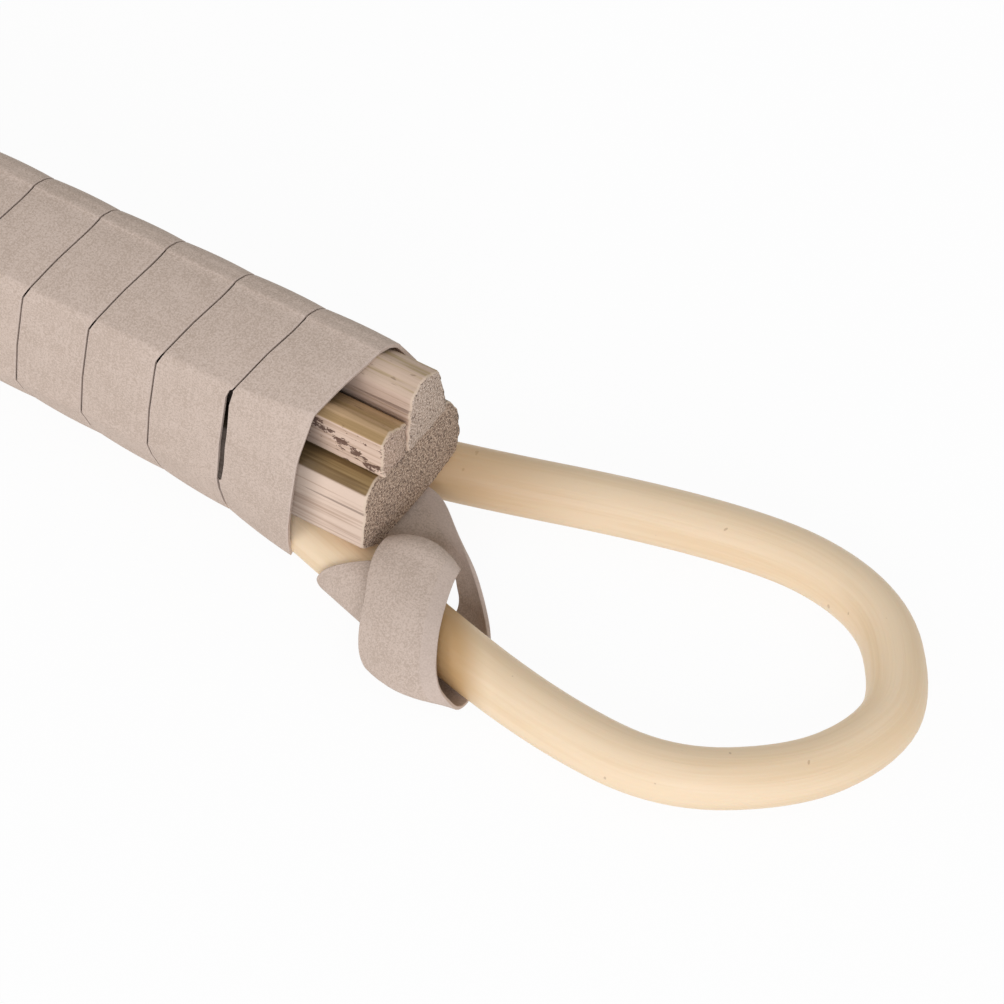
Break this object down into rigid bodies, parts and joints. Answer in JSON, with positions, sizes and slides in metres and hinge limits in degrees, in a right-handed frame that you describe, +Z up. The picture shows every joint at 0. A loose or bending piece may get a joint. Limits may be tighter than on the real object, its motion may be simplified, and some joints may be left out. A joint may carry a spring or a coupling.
{
  "type": "carpet beater",
  "caption": "Carpet beater with an open woven cane head, a straight handle wound with flat tape and a bent cane hanging loop.",
  "frame": {"origin": "on the plane that the beater rests on, under the middle of its length and its width", "axes": "+X along the handle, from the woven head to the hanging loop; +Y across, to the left when looking from the woven head towards the hanging loop; +Z up, square to the flat head"},
  "size_m": [0.72, 0.2164, 0.0268],
  "materials": {
    "head_cane": "smooth natural rattan, satin",
    "loop_cane": "smooth natural rattan, satin",
    "core_rattan": "split rattan, matt, with open pores at the sawn end",
    "filler_rattan": "split rattan, matt",
    "bark_rattan": "split rattan with some bark left, matt",
    "tape": "matt taupe, finely grained",
    "wire_nail": "plain steel wire"
  },
  "bodies": {
    "root": {"head_cane_outer": "head_cane", "head_cane_middle": "head_cane", "head_cane_inner": "head_cane", "hanging_loop": "loop_cane", "core_stick": "core_rattan", "top_filler_stick": "filler_rattan", "side_filler_stick": "bark_rattan", "grip_wrap": "tape", "neck_wrap": "tape", "leg_tail": "tape", "neck_nails": "wire_nail", "loop_nails": "wire_nail"}
  },
  "joints": []
}
